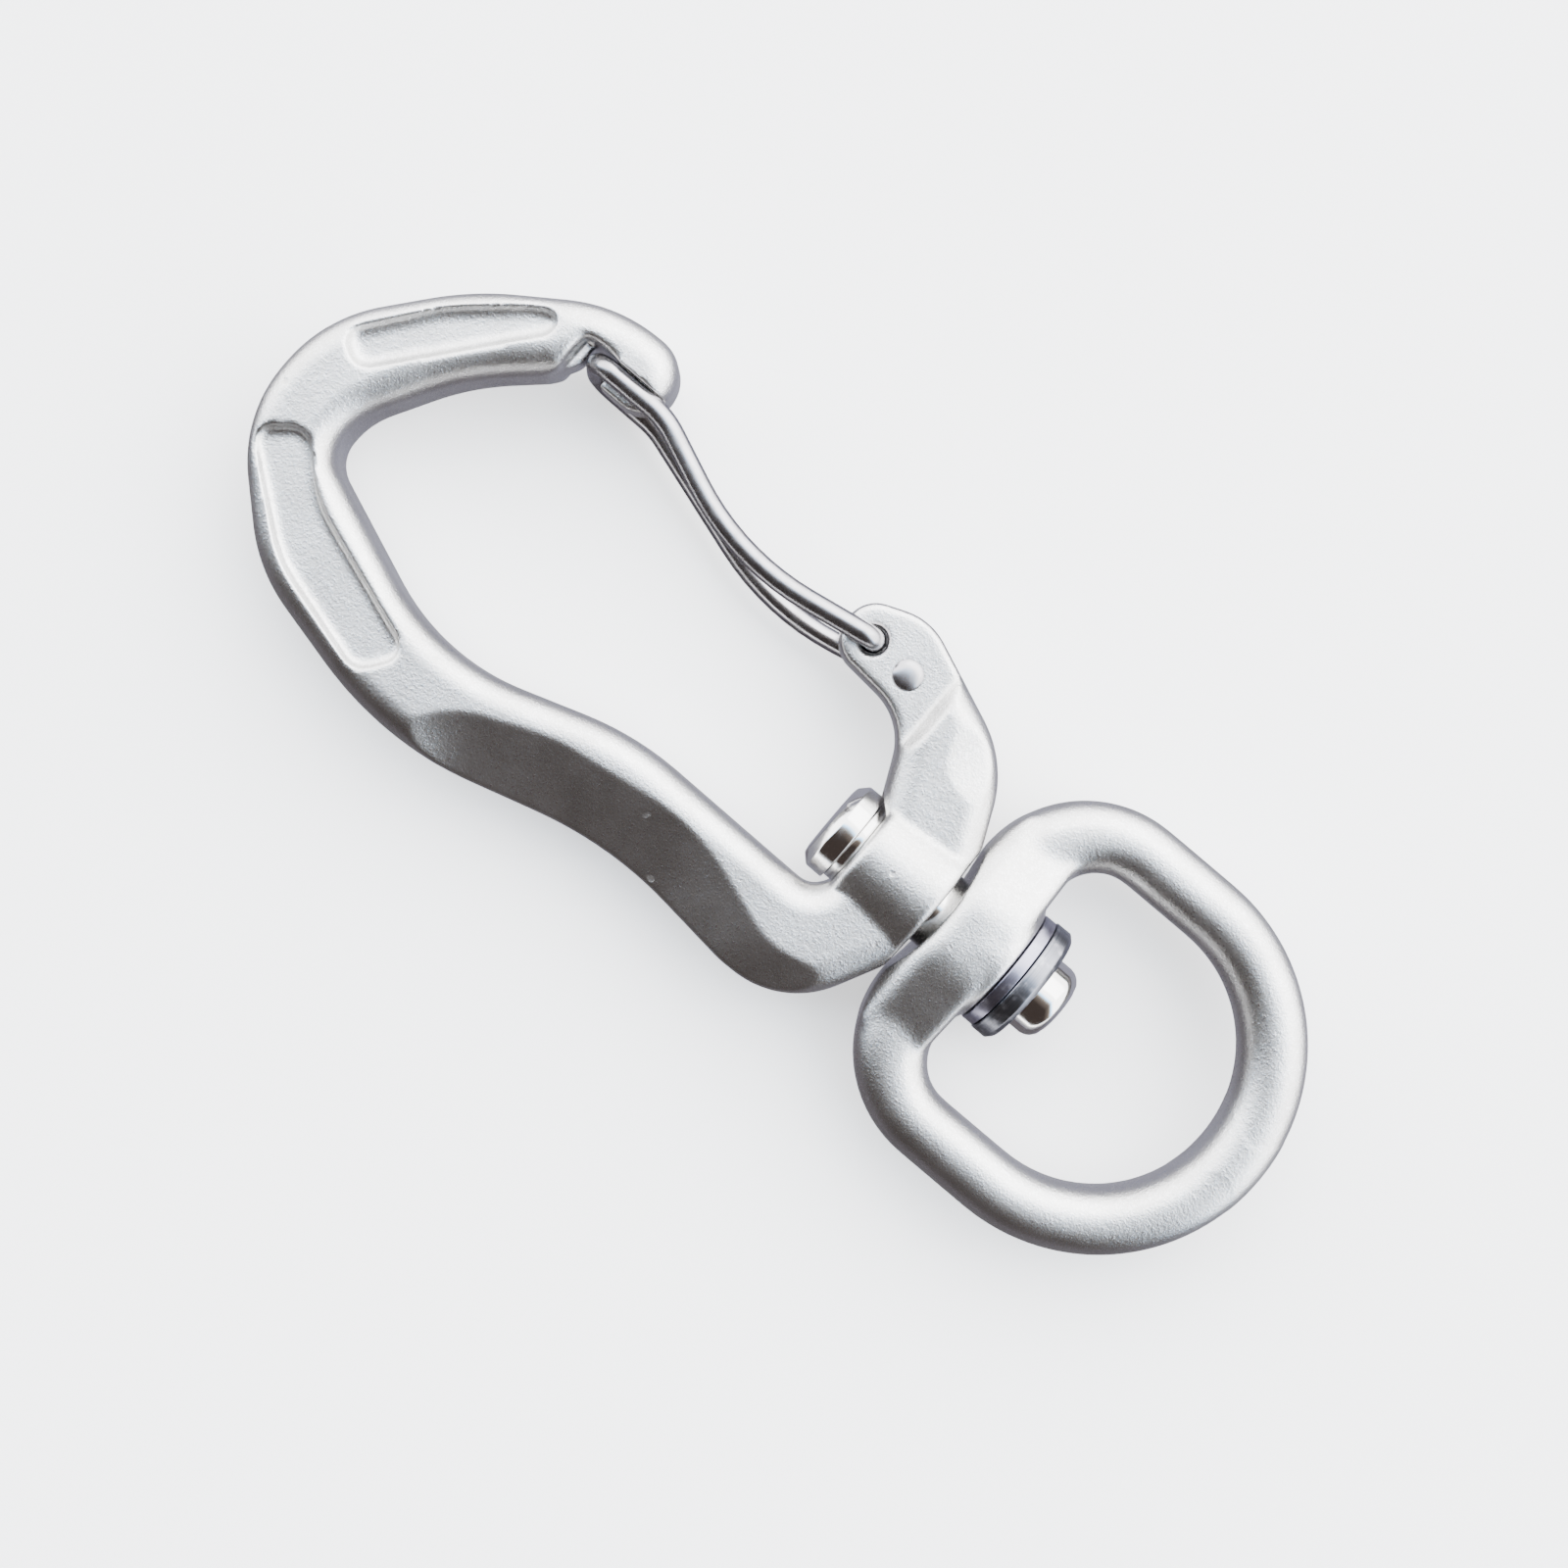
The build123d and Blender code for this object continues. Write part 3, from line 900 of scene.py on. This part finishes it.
@dataclass
class HookForging:
    """The hook's forging, softened everywhere except its seat, bore, wire holes and the shoulder that the
    wire's legs close against, and softened further beside the nose notch.
    """

    source: bpy.types.Object
    axle: Axle
    hinge: Vector
    anchor: Vector
    seat_r: float = 5.5
    hole_zone: float = 1.9
    shoulder_x: tuple[float, float] = (-35.6, -29.0)
    shoulder_y: tuple[float, float] = (15.6, 18.5)
    notch: tuple[float, float] = (-37.9, 16.9)
    notch_worn_r: float = 3.3
    notch_worn_z: float = 2.6

    def build(self, finish: bpy.types.Material) -> bpy.types.Object:
        """Build the hook.

        Args:
            finish: Its material.

        Returns:
            The finished hook.
        """
        forging = Forging(self.source, "hook", worn=[self._round_notch],
                          machined=[self._in_seat, self._in_wire_hole, self._on_shoulder])
        return forging.build(finish, Slot.ALLOY)

    def _in_seat(self, point: Vector) -> bool:
        """Whether a point is on the bore or the pin's seat."""
        return self.axle.off_axis(point) < self.seat_r

    def _in_wire_hole(self, point: Vector) -> bool:
        """Whether a point is at one of the wire's two holes."""
        return any(math.hypot(point.x / MM - hole.x, point.y / MM - hole.y) < self.hole_zone
                   for hole in (self.hinge, self.anchor))

    def _on_shoulder(self, point: Vector) -> bool:
        """Whether a point is on the shoulder that the wire's legs close against."""
        return (self.shoulder_x[0] < point.x / MM < self.shoulder_x[1]
                and self.shoulder_y[0] < point.y / MM < self.shoulder_y[1])

    def _round_notch(self, point: Vector) -> bool:
        """Whether a point is on the outer part of a side, near the notch for the wire's loop."""
        beside = math.hypot(point.x / MM - self.notch[0], point.y / MM - self.notch[1]) < self.notch_worn_r
        return beside and abs(point.z / MM - self.axle.z) > self.notch_worn_z


@dataclass
class EyeForging:
    """The swivel eye's forging, softened everywhere except at its bore."""

    source: bpy.types.Object
    axle: Axle
    bore_zone: float = 4.3
    soften_rounds: int = 40

    def build(self, finish: bpy.types.Material) -> bpy.types.Object:
        """Build the eye.

        Args:
            finish: Its material.

        Returns:
            The finished eye.
        """
        forging = Forging(self.source, "eye", machined=[self._in_bore],
                          soften_rounds=self.soften_rounds)
        return forging.build(finish, Slot.ALLOY)

    def _in_bore(self, point: Vector) -> bool:
        """Whether a point is on the bore."""
        return self.axle.off_axis(point) < self.bore_zone


# ---------------------------------------------------------------------------------- studio
@dataclass
class Studio:
    """A pale floor, a soft white side, a dark side and the camera."""

    aim: Vector
    distance: float = 220.0
    view_width: float = 145.5
    roll_deg: float = 40.2
    sensor_width: float = 36.0
    floor_size: float = 8.0
    floor_glow: float = 0.88
    sky_strength: float = 5.2
    softbox_watts: float = 5.0
    softbox_offset: tuple[float, float, float] = (0.05, 0.45, 0.42)

    def build(self) -> None:
        """Build the floor, light and camera."""
        self._floor()
        self._sky()
        self._softbox()
        self._camera()

    def _floor(self) -> None:
        """A plain pale floor that the hook lies on."""
        work = bmesh.new()
        bmesh.ops.create_grid(work, x_segments=1, y_segments=1, size=self.floor_size / 2)
        mesh = bpy.data.meshes.new("floor")
        work.to_mesh(mesh)
        work.free()
        paint = bpy.data.materials.new("floor paper")
        paint.use_nodes = True
        bench = NodeBench(paint.node_tree)
        shader = bench.node("ShaderNodeBsdfPrincipled", sockets={
            "Base Color": rgba(0.97, 0.97, 0.97), "Roughness": 0.9, "Specular IOR Level": 0.1,
            "Emission Color": rgba(1.0, 1.0, 1.0), "Emission Strength": self.floor_glow})
        bench.node("ShaderNodeOutputMaterial", sockets={"Surface": shader})
        mesh.materials.append(paint)
        floor = bpy.data.objects.new("floor", mesh)
        bpy.context.scene.collection.objects.link(floor)
        floor.visible_glossy = False

    def _sky(self) -> None:
        """Room light: white and bright on the gate's side, dark and warm on the spine's side."""
        world = bpy.data.worlds.new("studio")
        bpy.context.scene.world = world
        world.use_nodes = True
        bench = NodeBench(world.node_tree)
        facing = bench.node("ShaderNodeTexCoord", out="Generated")
        x, y, z = bench.axes(facing)
        side = y + ((x * x + 0.04).sqrt() - 0.2) * 0.72 - x * 0.15
        share = bench.node("ShaderNodeMapRange", sockets={0: side, 1: -0.25, 2: 0.45})
        shade = bench.node("ShaderNodeValToRGB", {"stops": [
            (0.0, (0.013, 0.010, 0.009)), (0.40, (0.052, 0.043, 0.037)), (0.51, (0.175, 0.156, 0.13)),
            (0.64, (0.38, 0.70, 1.08)), (0.80, (1.32, 1.32, 1.34))]}, {0: share})
        under = bench.mix(y.step(-0.5, 0.2), rgba(0.035, 0.032, 0.036), rgba(0.085, 0.085, 0.108))
        colour = bench.mix(z.step(-0.22, 0.02), under, shade)
        sky = bench.node("ShaderNodeBackground", sockets={"Color": colour, "Strength": self.sky_strength})
        bench.node("ShaderNodeOutputWorld", sockets={"Surface": sky})

    def _softbox(self) -> None:
        """A large soft light on the gate's side."""
        lamp = bpy.data.lights.new("softbox", "AREA")
        lamp.shape = "RECTANGLE"
        lamp.size, lamp.size_y = 0.9, 0.5
        lamp.energy = self.softbox_watts
        box = bpy.data.objects.new("softbox", lamp)
        bpy.context.scene.collection.objects.link(box)
        place = self.aim * MM + Vector(self.softbox_offset)
        box.location = place
        box.rotation_mode = "QUATERNION"
        box.rotation_quaternion = (self.aim * MM - place).to_track_quat("-Z", "Y")

    def _camera(self) -> None:
        """A camera square above the hook, rolled so that the eye points down to the right."""
        lens = bpy.data.cameras.new("camera")
        lens.sensor_width = self.sensor_width
        lens.lens = self.sensor_width * self.distance / self.view_width
        lens.clip_start = 0.01
        camera = bpy.data.objects.new("camera", lens)
        bpy.context.scene.collection.objects.link(camera)
        camera.location = (self.aim + Vector((0, 0, self.distance))) * MM
        camera.rotation_euler = (0, 0, math.radians(self.roll_deg))
        bpy.context.scene.camera = camera


def main() -> None:
    """Load the frame, build every piece, dress it and set the studio."""
    logging.basicConfig(level=logging.INFO, format="%(name)s: %(message)s")
    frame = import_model()
    axle = Axle()
    hinge_joint = next(j for j in frame["joints"] if j["name"] == "gate_hinge")
    hinge = Vector(hinge_joint["pos_m"]) / MM
    anchor_low, anchor_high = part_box("gate_wire_anchor_end")
    anchor = Vector((anchor_high.x / MM - WireGate.head_r, (anchor_low.y + anchor_high.y) / 2 / MM, hinge.z))

    alloy = BlastedAlloy().material()
    polished = PolishedSteel().material()
    dark = WasherSteel(axis_y_mm=axle.y, axis_z_mm=axle.z).material()
    pale = WasherSteel(label="thin washer steel", dark=rgba(0.30, 0.29, 0.37), worn=rgba(0.50, 0.49, 0.55),
                       axis_y_mm=axle.y, axis_z_mm=axle.z).material()
    wire = SpringWire().material()

    HookForging(frame["nodes"]["hook_body"], axle, hinge, anchor).build(alloy)
    EyeForging(frame["nodes"]["swivel_eye"], axle).build(alloy)
    SwivelPinSet(axle).build(polished, dark, pale)
    WireGate(hinge, anchor).build(wire)

    collar_face = axle.span("hook_body")[1]
    Studio(aim=Vector((collar_face - 17.8, axle.y - 0.3, axle.z))).build()


if __name__ == "__main__":
    main()
